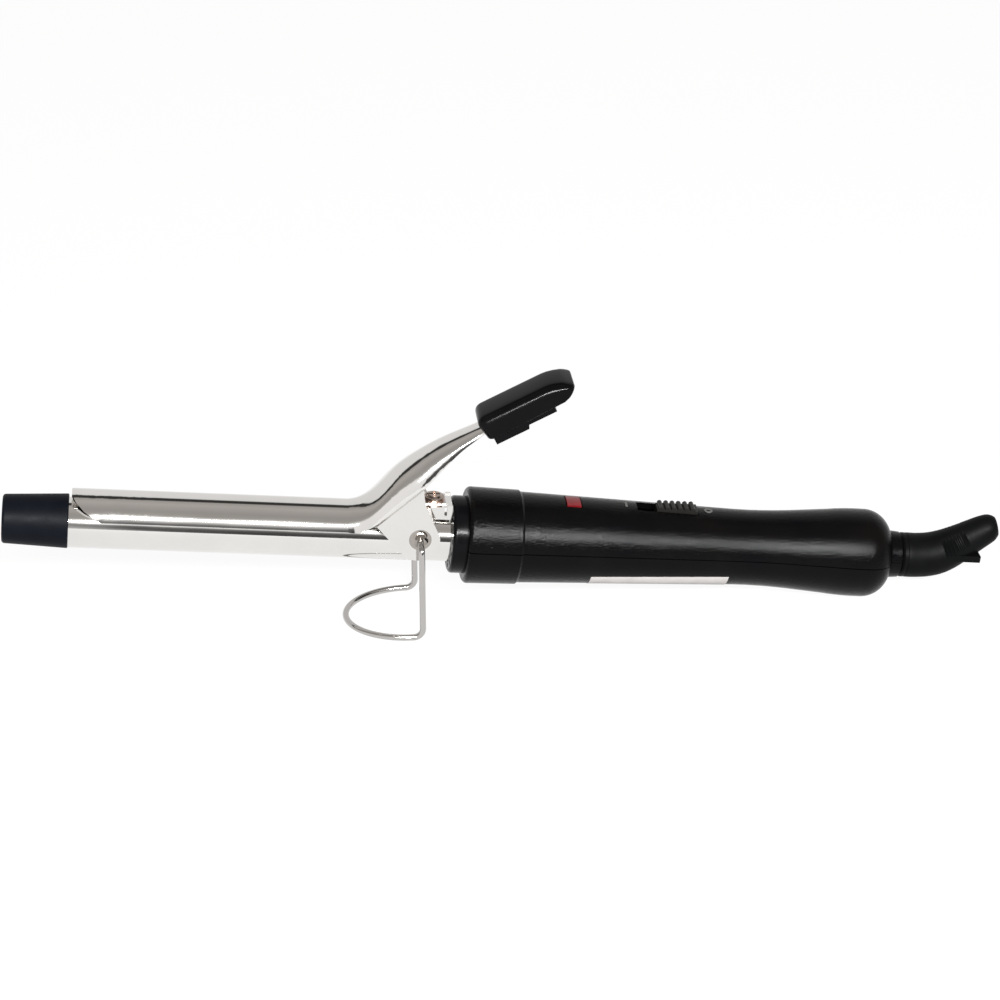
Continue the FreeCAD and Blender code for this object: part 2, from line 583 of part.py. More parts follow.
def front_ring():
    """The heat resistant ring between barrel and handle, notched on its face."""
    body = new_body("front_ring")
    revolve(body, "ring_turned", [
        ("ring_front", "7"), ("ring_front", "ring_radius - 1.2"),
        ("ring_front + 1.2", "ring_radius", "right", "1.2"), ("collar_front", "ring_radius"),
        ("collar_front", "ring_spigot - 0.05"), ("collar_front + 5.4", "ring_spigot - 0.05"),
        ("collar_front + 5.4", "7"),
    ])
    pocket(body, "barrel_way", "YZ_Plane", circled("0", "-barrel_drop", "barrel_radius + 0.15"),
           "20", offset="ring_front + 15")
    doc.recompute()
    tooth = new_sketch(body, "XZ_Plane", "vent_section")
    draw_outline(tooth, rectangle("ring_front - 1", "-10.6", "ring_front + 0.9", "-9.2"))
    vent = body.newObject("PartDesign::Pocket", "vent")
    vent.Profile = tooth
    vent.Length = 1.6
    vent.SideType = "Symmetric"
    doc.recompute()
    ring_of_vents = body.newObject("PartDesign::PolarPattern", "vents")
    ring_of_vents.Originals = [vent]
    ring_of_vents.Axis = (next(f for f in body.Origin.OriginFeatures if f.Role == "X_Axis"), [""])
    ring_of_vents.Angle = 360
    ring_of_vents.Occurrences = 14
    body.Tip = ring_of_vents
    keep("front_ring", body, "handle")


def shell_section(side):
    """Half of the handle's wall in the XZ plane, above the axis or below it."""
    wall, bore = "shell_wall", "outlet_bore"
    shoulder = "belly_radius - shoulder_radius"
    outline = [
        ("collar_front", "ring_spigot"), ("collar_front", "collar_radius - 1.5"),
        ("collar_front + 1.5", "collar_radius", "right", "1.5"),
        ("collar_rear", "collar_radius - 0.35"), ("collar_rear + 0.7", "grip_start_radius"),
        ("228", "waist_radius"), ("250", "waist_radius + 0.35", "left", "190"),
        ("262", "belly_radius - 0.6"), ("belly_x", "belly_radius", "right", "92"),
        ("belly_x + shoulder_radius * 0.97", shoulder + " + shoulder_radius * 0.2431", "right",
         "shoulder_radius"),
        ("grip_end", "neck_radius + 0.2"), ("grip_end", bore),
        ("belly_x", bore), ("belly_x", "belly_radius - " + wall + " - 0.3"),
        ("262", "belly_radius - 0.6 - " + wall), ("250", "waist_radius + 0.35 - " + wall),
        ("228", "waist_radius - " + wall), ("162", "grip_start_radius - " + wall),
        ("156.5", "13.2"), ("150.2", "13.2"), ("150.2", "ring_spigot"),
    ]
    flipped = {"left": "right", "right": "left"}
    if side > 0:
        return outline
    return [(c[0], f"-({c[1]})") + ((flipped[c[2]], c[3]) if len(c) == 4 else ()) for c in outline]


BOSSES = (("192", "3.0"), ("246", "3.0"))


def upper_shell():
    """The upper half of the handle, open for the lamp's lens and the switch knob."""
    body = new_body("upper_handle_shell")
    revolve(body, "upper_turned", shell_section(1), "upper_sweep")
    for n, (at, radius) in enumerate(BOSSES):
        pad(body, f"upper_boss_{n}", "XY_Plane", circled(at, "0", radius), "11.7", offset="0.3")
        pocket(body, f"upper_pilot_{n}", "XY_Plane", circled(at, "0", "1.0"), "7", offset="7.2")
    lens_half, lens_side = "(lens_length / 2 + lens_gap)", "(lens_width / 2 + lens_gap)"
    opening = rectangle(f"lens_x - {lens_half}", f"-{lens_side}", f"lens_x + {lens_half}", lens_side)
    pocket(body, "lens_opening", "XY_Plane", outlined(opening), "9", offset="18")
    slot = rectangle("slot_front", "-slot_width / 2", "slot_rear", "slot_width / 2")
    pocket(body, "switch_slot", "XY_Plane", outlined(slot), "11", offset="18")
    keep("upper_handle_shell", body, "handle")


def lower_shell():
    """The lower half of the handle, with two sunk columns for the handle screws."""
    body = new_body("lower_handle_shell")
    revolve(body, "lower_turned", shell_section(-1), "lower_sweep")
    for n, (at, radius) in enumerate(BOSSES):
        pad(body, f"lower_boss_{n}", "XY_Plane", circled(at, "0", radius + " + 0.6"), "11.8",
            offset="-12")
        pocket(body, f"lower_way_{n}", "XY_Plane", circled(at, "0", "1.5"), "16", offset="1")
        pocket(body, f"lower_sink_{n}", "XY_Plane", circled(at, "0", "2.7"), "9", offset="-6.4")
    keep("lower_handle_shell", body, "handle")


def handle_screws():
    """Two self tapping screws up through the lower shell into the upper bosses."""
    items = []
    for n, (at, _) in enumerate(BOSSES):
        shank = cylinder(f"shank_{n}", "0.98", "11", at, "0", "-6.4")
        head = cylinder(f"head_{n}", "2.5", "1.8", at, "0", "-8.2")
        items.append(fuse(f"handle_screw_{n}", [shank, head]))
    keep("handle_screws", group("handle_screws", items), "handle")


def barrel_holder():
    """A heat resistant ring that grips the barrel's end inside the handle, with its screws."""
    disc = cylinder("holder_disc", "13", "6.2", "150.4", "0", "0", "X")
    bore = cylinder("holder_bore", "barrel_radius + 0.1", "20", "146", "0", "-barrel_drop", "X")
    keep("barrel_holder", cut("barrel_holder", disc, bore), "handle")


def switch():
    """The slide switch: ridged knob, housing under the shell and its blade terminals."""
    front = "knob_rear - knob_length"
    knob = new_body("switch_knob")
    stem = rectangle(front, "9.3", "knob_rear", "knob_base")
    pad(knob, "stem", "XZ_Plane", outlined(stem), "knob_width", both_ways=True)
    carrier = rectangle(front + " - 1", "8.4", "knob_rear + 1.2", "9.6")
    pad(knob, "carrier", "XZ_Plane", outlined(carrier), "knob_width + 2.2", both_ways=True)
    tongue = rectangle(front + " + 5", "5.6", front + " + 8", "8.6")
    pad(knob, "tongue", "XZ_Plane", outlined(tongue), "2.4", both_ways=True)
    for n in range(int(SIZES["knob_ridges"])):
        start = f"{front} + 0.45 + {n} * ridge_pitch"
        crown = "knob_base + knob_ridge - 0.75"
        ridge = [(start, "knob_base - 0.2"), (f"{start} + 1.6", "knob_base - 0.2"),
                 (f"{start} + 1.6", crown), (start, crown, "left", "0.82")]
        pad(knob, f"ridge_{n}", "XZ_Plane", outlined(ridge), "knob_width", both_ways=True)
    keep("switch_knob", knob, "handle")
    housing = new_body("switch_housing")
    outside = rectangle(front + " - 4", "-1.6", "knob_rear + 3", "7.6")
    pad(housing, "housing_block", "XZ_Plane", outlined(outside), "9.6", both_ways=True)
    track = rectangle(front + " - 1.6", "5.2", front + " + 8.4", "9")
    pocket(housing, "track", "XZ_Plane", outlined(track), "2.8", both_ways=True)
    keep("switch_housing", housing, "handle")
    blades = [box(f"blade_{n}", f"knob_rear - 11 + {n} * 9", "0", "-6.2", "0.8", "4.6", "4.6")
              for n in range(2)]
    keep("switch_terminals", group("switch_terminals", blades), "handle")


def lamp():
    """The red lens in the shell, the glow lamp under it and its series resistor."""
    body = new_body("indicator_lens")
    half, side = "lens_length / 2", "lens_width / 2"
    crown = [(f"-({side})", "10.6"), (side, "10.6"), (side, "13.75"),
             (f"-({side})", "13.75", "left", "14.9")]
    pad(body, "lens_block", "YZ_Plane", outlined(crown), "lens_length",
        offset=f"lens_x - {half}")
    ledge = rectangle(f"-({side}) - 0.7", "10.0", side + " + 0.7", "10.7")
    pad(body, "lens_ledge", "YZ_Plane", outlined(ledge), "lens_length + 1.4",
        offset=f"lens_x - {half} - 0.7")
    keep("indicator_lens", body, "handle")
    bulb = cylinder("bulb_glass", "1.9", "7.5", "lens_x - 3.2", "0", "7.4", "X")
    keep("glow_lamp", bulb, "handle")
    resistor = cylinder("series_resistor", "1.1", "6.2", "lens_x - 3", "4.6", "5.4", "X")
    keep("series_resistor", resistor, "handle")
    fuse_can = cylinder("thermal_fuse", "1.9", "9", "171", "0", "0.5", "X")
    keep("thermal_fuse", fuse_can, "handle")


def mains_wires():
    """Two wires from the contact brushes forward to the switch."""
    wires = [cylinder(f"mains_wire_{n}", "1.0", "29", "224.6", f"{side} * 5.4", "0.4", "X")
             for n, side in enumerate((-1, 1))]
    keep("mains_wires", group("mains_wires", wires), "handle")


# --------------------------------------------------------------------------- swivel and boot

def swivel():
    """The rotor that lets the cord turn: shaft in the handle's end, flange and two slip rings."""
    flange_rear = "belly_x - 0.2"
    body = new_body("swivel_rotor")
    revolve(body, "rotor_turned", [
        ("254", "cord_bore - 0.9"), ("254", "4.2"), (f"{flange_rear} - flange_thick", "4.2"),
        (f"{flange_rear} - flange_thick", "flange_radius"), (flange_rear, "flange_radius"),
        (flange_rear, "shaft_radius"), ("grip_end + 0.5", "shaft_radius"),
        ("grip_end + 0.5", "neck_radius - 0.6"), ("grip_end + 1.1", "neck_radius"),
        ("neck_end", "neck_radius"), ("neck_end", "cord_bore - 0.9"),
    ])
    keep("swivel_rotor", body, "handle")
    rings = []
    for n, at in enumerate(("256", "262.5")):
        disc = cylinder(f"ring_disc_{n}", "5.1", "3", at, "0", "0", "X")
        hole = cylinder(f"ring_hole_{n}", "4.2", "6", at + " - 1", "0", "0", "X")
        rings.append(cut(f"slip_ring_{n}", disc, hole))
    keep("slip_rings", group("slip_rings", rings), "handle")
    brushes = [box(f"brush_{n}", at, f"{side} * 6.1", "-4.5", "2", "1.6", "9")
               for n, (at, side) in enumerate((("256.5", -1), ("263", 1)))]
    keep("contact_brushes", group("contact_brushes", brushes), "handle")


def cord_boot():
    """A rubber horn that curves up from the swivel, with a short flat tongue under it."""
    start = size_of("neck_end")
    # centre x and z, radius and upward lean of the horn's rounds, from the swivel to the tip
    rounds = [(start, 0.0, 7.2, 0), (292.6, 0.0, 7.2, 0), (296.6, 0.4, 7.15, 9),
              (300.2, 1.4, 7.0, 19), (303.7, 3.2, 6.6, 27), (307.3, 5.6, 6.0, 32),
              (311.0, 8.2, 5.4, 33), (314.0, 10.2, 4.95, 30), (316.0, 11.3, 4.5, 24),
              (317.2, 11.7, 3.8, 18), (317.9, 11.8, 3.15, 15)]
    wires = []
    for x, z, radius, lean in rounds:
        along = Vector(math.cos(math.radians(lean)), 0, math.sin(math.radians(lean)))
        wires.append(Part.Wire(Part.makeCircle(radius, Vector(x, 0, z), along)))
    horn = Part.makeLoft(wires, True, False)
    mouth = Vector(rounds[-1][0], 0, rounds[-1][1])
    slope = math.radians(size_of("cord_rise"))
    outward = Vector(math.cos(slope), 0, math.sin(slope))
    way = Part.makeCylinder(size_of("cord_bore"), size_of("cord_run") + 2, mouth + outward * 2,
                            outward * -1)
    width, thick, reach = size_of("prong_width"), size_of("prong_thick"), size_of("prong_reach")
    prong = Part.makeBox(10, width, thick, Vector(reach - 10, -width / 2, size_of("prong_base")))
    boot = doc.addObject("Part::Feature", "cord_boot")
    boot.Shape = horn.fuse(prong).removeSplitter().cut(way)
    keep("cord_boot", boot, "handle")


for build in (tip_cap, barrel_tube, heat_spreaders, heater_stack, heater_leads, clamp_plate,
              hinge_bracket, thumb_rest, leaf_spring, saddle_bracket, saddle_fasteners,
              pivot_eyelets, wire_rest, front_ring, upper_shell, lower_shell, handle_screws,
              barrel_holder, switch, lamp, mains_wires, swivel, cord_boot):
    build()
doc.recompute()

# --------------------------------------------------------------------------- setting down

ACROSS = Vector(0, 1, 0)
pivot = Vector(size_of("pivot_x"), 0, size_of("pivot_z"))
droop_at = Vector(size_of("collar_front"), 0, 0)
home_of = {
    "iron": Placement(),
    "cap": Placement(Vector(0, 0, -size_of("cap_drop")), Rotation()),
    "barrel": Placement(Vector(0, 0, -size_of("barrel_drop")), Rotation()),
    "handle": Placement(Vector(), Rotation(ACROSS, size_of("handle_droop")), droop_at),
    "thumb": Placement(Vector(size_of("thumb_x"), 0, size_of("thumb_z")),
                       Rotation(ACROSS, -size_of("thumb_rise"))),
    "stand": Placement(pivot, Rotation(ACROSS, -size_of("nose_up"))),
    "screw": Placement(Vector(size_of("screw_x"), 0, 0), Rotation(ACROSS, -90)),
    "left_pivot": Placement(pivot, Rotation(Vector(1, 0, 0), Vector(0, -1, 0))),
    "right_pivot": Placement(pivot, Rotation(Vector(1, 0, 0), Vector(0, 1, 0))),
}


failed = [item.Label for item in doc.Objects if broken(item)]
failed += [label for label, (item, _) in pieces.items() if item.Shape.isNull() or not item.Shape.isValid()]
if failed:
    raise RuntimeError("failed: " + ", ".join(failed))

level = Placement(Vector(), Rotation(ACROSS, size_of("nose_up")))
for item, home in pieces.values():
    item.Placement = level * home_of[home] * item.Placement
extent = Part.makeCompound([item.Shape for item, _ in pieces.values()]).optimalBoundingBox(False)
middle = Vector(-(extent.XMin + extent.XMax) / 2, 0, -extent.ZMin)
os.makedirs("parts", exist_ok=True)
for label, (item, _) in pieces.items():
    item.Placement = Placement(middle, Rotation()) * item.Placement
    item.Shape.exportStep(f"parts/{label}.step")
print(f"{len(pieces)} pieces, set down by {middle.x:.3f}, {middle.z:.3f} mm")
print(f"size {extent.XLength:.2f} x {extent.YLength:.2f} x {extent.ZLength:.2f} mm")
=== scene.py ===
import json
import math

import bmesh
import bpy
from mathutils import Matrix, Vector
from mathutils.bvhtree import BVHTree

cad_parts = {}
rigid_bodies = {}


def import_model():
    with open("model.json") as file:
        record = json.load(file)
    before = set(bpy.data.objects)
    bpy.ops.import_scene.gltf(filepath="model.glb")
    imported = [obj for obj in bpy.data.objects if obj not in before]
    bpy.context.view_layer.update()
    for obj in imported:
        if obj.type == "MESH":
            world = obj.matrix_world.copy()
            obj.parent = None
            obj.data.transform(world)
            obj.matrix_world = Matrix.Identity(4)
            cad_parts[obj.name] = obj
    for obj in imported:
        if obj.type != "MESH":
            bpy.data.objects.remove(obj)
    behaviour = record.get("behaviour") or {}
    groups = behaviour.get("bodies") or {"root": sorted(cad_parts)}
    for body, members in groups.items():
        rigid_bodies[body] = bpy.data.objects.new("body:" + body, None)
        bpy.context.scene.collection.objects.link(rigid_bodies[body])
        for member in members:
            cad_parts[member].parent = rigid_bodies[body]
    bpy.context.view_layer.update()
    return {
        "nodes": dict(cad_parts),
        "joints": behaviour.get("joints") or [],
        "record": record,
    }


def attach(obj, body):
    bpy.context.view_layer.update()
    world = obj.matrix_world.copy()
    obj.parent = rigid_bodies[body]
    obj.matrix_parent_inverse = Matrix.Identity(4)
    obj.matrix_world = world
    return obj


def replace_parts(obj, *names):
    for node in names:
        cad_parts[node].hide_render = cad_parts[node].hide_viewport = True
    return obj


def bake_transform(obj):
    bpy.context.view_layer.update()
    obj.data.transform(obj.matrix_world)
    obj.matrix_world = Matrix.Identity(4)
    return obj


# Looks, light and camera for a curling iron. Materials, floor, light and camera are in metres. Pieces
# are drawn in millimetres along, across and above the grip, the iron or the thumb rest.

for leftover in list(bpy.data.objects):
    bpy.data.objects.remove(leftover)

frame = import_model()

MM = 0.001
ACROSS = Vector((0, 1, 0))


# ---------------------------------------------------------------- places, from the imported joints

def joint(name):
    return next(j for j in frame["joints"] if j["name"] == name)


def axes_matrix(along, origin):
    """A frame whose X runs along a direction in the XZ plane, whose Y is across the iron."""
    along = Vector(along).normalized()
    upward = along.cross(ACROSS)
    matrix = Matrix((along, ACROSS, upward)).transposed().to_4x4()
    matrix.translation = Vector(origin)
    return matrix


# The grip's own frame and the iron's, in millimetres along their axes from the barrel's tip.
GRIP_END_MM = 286.6
GRIP_DROOP = 0.5            # degrees between the two axes
PIVOT_MM = Vector((129.6, 0, 3.0))
THUMB_REST_MM = Vector((147.0, 0, 39.0))
THUMB_REST_RISE = 31.5      # degrees above the iron's axis
grip_axis = Vector(joint("switch_slide")["axis"])
grip_frame = axes_matrix(grip_axis, Vector(joint("cord_swivel")["pos_m"]) - grip_axis * GRIP_END_MM * MM)
iron_axis = Matrix.Rotation(math.radians(-GRIP_DROOP), 3, "Y") @ grip_axis
iron_turn = axes_matrix(iron_axis, (0, 0, 0))
iron_frame = axes_matrix(iron_axis, Vector(joint("clamp_pivot")["pos_m"]) - iron_turn @ (PIVOT_MM * MM))
thumb_frame = (iron_frame @ Matrix.Translation(THUMB_REST_MM * MM)
               @ Matrix.Rotation(math.radians(-THUMB_REST_RISE), 4, "Y"))


def on_grip(x_mm, y_mm, z_mm):
    """A point given along, across and above the grip's axis."""
    return grip_frame @ Vector((x_mm * MM, y_mm * MM, z_mm * MM))


# ---------------------------------------------------------------- materials

class Surface:
    """A principled material with a few helpers for procedural detail in the part's own metres."""

    def __init__(self, name, colour, roughness, metallic=0.0, **sockets):
        self.material = bpy.data.materials.new(name)
        self.material.use_nodes = True
        self.nodes = self.material.node_tree.nodes
        self.links = self.material.node_tree.links
        self.shader = self.nodes["Principled BSDF"]
        self.place = self.nodes.new("ShaderNodeTexCoord").outputs["Object"]
        self.height = None
        self.set("Base Color", (*colour, 1))
        self.set("Roughness", roughness)
        self.set("Metallic", metallic)
        for socket, value in sockets.items():
            self.set(socket.replace("_", " "), value)

    def set(self, socket, value):
        self.shader.inputs[socket].default_value = value

    def noise(self, size, detail=3.0, stretch=(1, 1, 1)):
        """Noise whose blobs are about size metres across."""
        mapping = self.nodes.new("ShaderNodeMapping")
        mapping.inputs["Scale"].default_value = [1 / (size * s) for s in stretch]
        self.links.new(self.place, mapping.inputs["Vector"])
        texture = self.nodes.new("ShaderNodeTexNoise")
        texture.inputs["Scale"].default_value = 1.0
        texture.inputs["Detail"].default_value = detail
        self.links.new(mapping.outputs["Vector"], texture.inputs["Vector"])
        return texture.outputs["Fac"]

    def spread(self, value, low, high, start=0.3, end=0.7):
        node = self.nodes.new("ShaderNodeMapRange")
        node.inputs["From Min"].default_value = start
        node.inputs["From Max"].default_value = end
        node.inputs["To Min"].default_value = low
        node.inputs["To Max"].default_value = high
        self.links.new(value, node.inputs["Value"])
        return node.outputs["Result"]

    def vary_roughness(self, value, low, high):
        self.links.new(self.spread(value, low, high), self.shader.inputs["Roughness"])
        return self

    def vary_colour(self, value, first, second, start=0.3, end=0.7):
        mix = self.nodes.new("ShaderNodeMix")
        mix.data_type = "RGBA"
        mix.inputs["A"].default_value = (*first, 1)
        mix.inputs["B"].default_value = (*second, 1)
        self.links.new(self.spread(value, 0, 1, start, end), mix.inputs["Factor"])
        self.links.new(mix.outputs["Result"], self.shader.inputs["Base Color"])
        return self

    def bump(self, value, depth):
        """Relief of about depth metres; a second call adds to the first."""
        node = self.nodes.new("ShaderNodeBump")
        node.inputs["Distance"].default_value = depth
        self.links.new(value, node.inputs["Height"])
        if self.height:
            self.links.new(self.height, node.inputs["Normal"])
        self.height = node.outputs["Normal"]
        self.links.new(self.height, self.shader.inputs["Normal"])
        return self


def plated(name, colour, low, high, wave=0.000004):
    """Bright plating: nearly a mirror, with faint cloudiness, wiping marks and pressing waves."""
    look = Surface(name, colour, low, 1.0)
    look.vary_roughness(look.noise(0.006, 4, (4, 1, 1)), low, high)
    tone = tuple(c * 0.955 for c in colour)
    look.vary_colour(look.noise(0.011, 3), colour, tone)
    return look.bump(look.noise(0.007, 1, (3, 1, 1)), wave).material


def metal(name, colour, low, high, stretch=(6, 1, 1)):
    look = Surface(name, colour, low, 1.0)
    look.vary_roughness(look.noise(0.0012, 3, stretch), low, high)
    look.vary_colour(look.noise(0.003), colour, tuple(c * 0.85 for c in colour))
    return look.bump(look.noise(0.0003, 2, stretch), 0.000004).material


def moulded(name, colour, low, high, grain=0.0004, depth=0.00002, **sockets):
    """Moulded plastic or rubber with a fine skin and a slight unevenness of tone."""
    look = Surface(name, colour, low, **sockets)
    look.vary_roughness(look.noise(0.004), low, high)
    look.vary_colour(look.noise(0.009), colour, tuple(c * 1.3 + 0.0004 for c in colour))
    return look.bump(look.noise(grain, 2), depth).material


def grained(name):
    """The grip's spark eroded grain: tiny pits that break the highlight into sparkles."""
    look = Surface(name, (0.001, 0.001, 0.0013), 0.2, Specular_IOR_Level=0.08)
    look.vary_roughness(look.noise(0.0008, 2), 0.16, 0.26)
    look.vary_colour(look.noise(0.014), (0.0008, 0.0008, 0.0011), (0.0016, 0.0014, 0.0013))
    return look.bump(look.noise(0.0006, 3), 0.00014).material


def paper():
    look = Surface("label_paper", (0.36, 0.345, 0.335), 0.55, Specular_IOR_Level=0.2)
    look.vary_colour(look.noise(0.006), (0.38, 0.363, 0.353), (0.33, 0.313, 0.303))
    look.vary_roughness(look.noise(0.0006), 0.5, 0.7)
    return look.bump(look.noise(0.0002, 4), 0.000006).material


def red_lens():
    look = Surface("lens_red", (0.13, 0.004, 0.007), 0.12, Transmission_Weight=0.25, IOR=1.49,
                   Specular_IOR_Level=0.3)
    look.vary_colour(look.noise(0.003), (0.15, 0.005, 0.008), (0.1, 0.003, 0.005))
    return look.bump(look.noise(0.001, 1), 0.00001).material


CHROME = (0.77, 0.755, 0.735)
looks = {
    "chrome_plate": plated("chrome_plate", CHROME, 0.035, 0.09),
    "tip_black": moulded("tip_black", (0.0018, 0.0023, 0.0038), 0.42, 0.52, 0.0005, 0.00002,
                         Specular_IOR_Level=0.05),
    "ring_black": moulded("ring_black", (0.0014, 0.0014, 0.0017), 0.18, 0.26, 0.0005, 0.00002,
                          Specular_IOR_Level=0.08),
    "grip_black": grained("grip_black"),
    "thumb_black": moulded("thumb_black", (0.001, 0.001, 0.0012), 0.15, 0.21, 0.002, 0.00001,
                           Specular_IOR_Level=0.09),
    "knob_black": moulded("knob_black", (0.005, 0.0046, 0.004), 0.3, 0.4, 0.0003, 0.00003,
                          Specular_IOR_Level=0.14),
    "boot_rubber": moulded("boot_rubber", (0.0012, 0.0013, 0.0014), 0.4, 0.52, 0.0006, 0.00003,
                           Specular_IOR_Level=0.05),
    "swivel_black": moulded("swivel_black", (0.0014, 0.0014, 0.0016), 0.34, 0.45, 0.0005, 0.00002,
                            Specular_IOR_Level=0.05),
    "lens_red": red_lens(),
    "spring_steel": metal("spring_steel", (0.5, 0.49, 0.47), 0.18, 0.3),
    "screw_steel": metal("screw_steel", (0.36, 0.29, 0.25), 0.16, 0.3, (1, 1, 1)),
    "fastener_steel": metal("fastener_steel", (0.55, 0.55, 0.54), 0.22, 0.36, (1, 1, 1)),
    "washer_copper": metal("washer_copper", (0.72, 0.5, 0.42), 0.22, 0.34, (1, 1, 1)),
    "spreader_aluminium": metal("spreader_aluminium", (0.72, 0.72, 0.73), 0.25, 0.4),
    "contact_brass": metal("contact_brass", (0.72, 0.56, 0.28), 0.2, 0.34),
    "film_amber": moulded("film_amber", (0.5, 0.24, 0.04), 0.15, 0.25, 0.001, 0.00001,
                          Transmission_Weight=0.2),
    "chip_ceramic": moulded("chip_ceramic", (0.16, 0.145, 0.14), 0.6, 0.75),
    "lead_sleeve": moulded("lead_sleeve", (0.76, 0.75, 0.7), 0.7, 0.85, 0.0004, 0.0001),
    "holder_phenolic": moulded("holder_phenolic", (0.07, 0.045, 0.03), 0.3, 0.45),
    "housing_white": moulded("housing_white", (0.7, 0.7, 0.67), 0.35, 0.5),
    "lamp_glass": moulded("lamp_glass", (0.9, 0.88, 0.84), 0.03, 0.06, 0.002, 0.000004,
                          Transmission_Weight=0.9, IOR=1.5),
    "resistor_tan": moulded("resistor_tan", (0.6, 0.48, 0.32), 0.3, 0.45),
    "fuse_case": metal("fuse_case", (0.66, 0.65, 0.62), 0.25, 0.35, (1, 1, 1)),
    "wire_insulation": moulded("wire_insulation", (0.04, 0.04, 0.041), 0.35, 0.45),
}
# the pivot eyelets and the wire are plated like the rest but darker: painted shade on the eyelets' domes
# and painted dark reflections along the wire
own_looks = dict.fromkeys(("left_pivot_eyelet", "right_pivot_eyelet"),
                          plated("eyelet_plate_painted_shade", (0.4, 0.37, 0.34), 0.1, 0.18))
own_looks["wire_rest"] = plated("wire_plate_painted_shade", (0.5, 0.485, 0.47), 0.05, 0.12)
for part in frame["record"]["subparts"]:
    node = frame["nodes"][part["node"]]
    node.data.materials.clear()
    node.data.materials.append(own_looks.get(part["node"], looks[part["material_slot"]]))

# ---------------------------------------------------------------- pieces

def placed_mesh(name, points_mm, faces, matrix):
    """A mesh object from points in a frame's millimetres, with welded points and outward faces."""
    shape = bmesh.new()
    corners = [shape.verts.new(matrix @ (Vector(p) * MM)) for p in points_mm]
    for face in faces:
        shape.faces.new([corners[n] for n in face])
    bmesh.ops.remove_doubles(shape, verts=shape.verts, dist=0.000002)
    bmesh.ops.recalc_face_normals(shape, faces=shape.faces)
    mesh = bpy.data.meshes.new(name)
    shape.to_mesh(mesh)
    shape.free()
    piece = bpy.data.objects.new(name, mesh)
    bpy.context.scene.collection.objects.link(piece)
    return piece


def combine(piece, tool, operation):
    """Joins or cuts two closed meshes for good, and removes the tool."""
    modifier = piece.modifiers.new("combine", "BOOLEAN")
    modifier.operation = operation
    modifier.solver = "EXACT"
    modifier.object = tool
    graph = bpy.context.evaluated_depsgraph_get()
    mesh = bpy.data.meshes.new_from_object(piece.evaluated_get(graph))
    mesh.name = piece.name
    piece.modifiers.clear()
    piece.data = mesh
    bpy.data.objects.remove(tool)
    return piece


def dress(piece, slot, body=None, look=None, smooth_below=32):
    """Gives a new piece its finish, its smooth stretches and the body that it moves with."""
    piece.data.materials.clear()
    piece.data.materials.append(look or looks[slot])
    piece.data.shade_smooth()
    piece.data.set_sharp_from_angle(angle=math.radians(smooth_below))
    if body:
        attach(piece, body)
    return piece


def block_faces(counts):
    """Points and faces of a box's skin, each point as three whole numbers of steps along the edges."""
    points, faces = [], []
    for fixed in range(3):
        u, v = [n for n in range(3) if n != fixed]
        for level in (0, counts[fixed]):
            for a in range(counts[u]):
                for b in range(counts[v]):
                    first = len(points)
                    for da, db in ((0, 0), (1, 0), (1, 1), (0, 1)):
                        point = [0, 0, 0]
                        point[fixed], point[u], point[v] = level, a + da, b + db
                        points.append(point)
                    faces.append(range(first, first + 4))
    return points, faces


def box_piece(name, low, high, matrix):
    points, faces = block_faces((1, 1, 1))
    corners = [[(low, high)[step][n] for n, step in enumerate(point)] for point in points]
    return placed_mesh(name, corners, faces, matrix)


def rounded_steps(low, high, near_radius, far_radius, flat):
    """Steps from low to high, close together along the two rounded ends."""
    near = [low + near_radius * (1 - math.tan(math.radians(45 - 7.5 * n))) for n in range(6)]
    far = [high - far_radius * (1 - math.tan(math.radians(7.5 * n))) for n in range(1, 7)]
    middle = [low + near_radius + (high - far_radius - low - near_radius) * n / flat
              for n in range(flat + 1)]
    return near + middle + far


def rounded_block(name, low, high, plan_radius, foot_radius, top_radius, matrix, shape_point):
    """A block whose upright edges, lower edges and upper edges are rounded by different radii."""
    radii = ((plan_radius, plan_radius), (plan_radius, plan_radius), (foot_radius, top_radius))
    steps = [rounded_steps(low[n], high[n], *radii[n], (14, 6, 4)[n]) for n in range(3)]
    points, faces = block_faces([len(s) - 1 for s in steps])
    moved = []
    for point in points:
        place = Vector([steps[n][step] for n, step in enumerate(point)])
        inner = Vector([min(max(place[n], low[n] + radii[n][0]), high[n] - radii[n][1])
                        for n in range(3)])
        radius = [radii[n][0] if place[n] < inner[n] else radii[n][1] for n in range(3)]
        out = Vector([(place[n] - inner[n]) / radius[n] for n in range(3)])
        if out.length > 0:
            out.normalize()
        moved.append(shape_point(inner + Vector([out[n] * radius[n] for n in range(3)])))
    return placed_mesh(name, moved, faces, matrix)


def thumb_cover():
    """The thumb rest: a polished block with soft edges, its nose drawn down, hollow underneath."""
    length, half, top, foot = 31.4, 7.2, 5.0, -3.5

    def shape_point(p):
        nose = max(0, (p.x - length + 9) / 9)
        heel = max(0, p.x - length + 5) / 5
        share = (p.z - foot) / (top - foot)
        low = foot + 1.0 * min(p.x / 27, 1) + 2.9 * heel ** 1.5
        high = top - 3.0 * nose ** 2
        crown = 0.35 * (1 - (p.y / half) ** 2) * share
        lip = 1.4 * share * max(0, 1 - p.x / 9)
        return Vector((p.x - lip, p.y, low + share * (high - low) - 0.35 * share + crown))

    cover = rounded_block("thumb_cover", (0, -half, foot), (length, half, top), 3.0, 0.9, 3.4,
                          thumb_frame, shape_point)
    wall, roof, front = 2.5, 2.7, 25.5
    hollow = box_piece("hollow", (-1, wall - half, foot - 1), (front, half - wall, top - roof), thumb_frame)
    combine(cover, hollow, "DIFFERENCE")
    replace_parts(dress(cover, "thumb_black", "clamp"), "thumb_rest_cover")


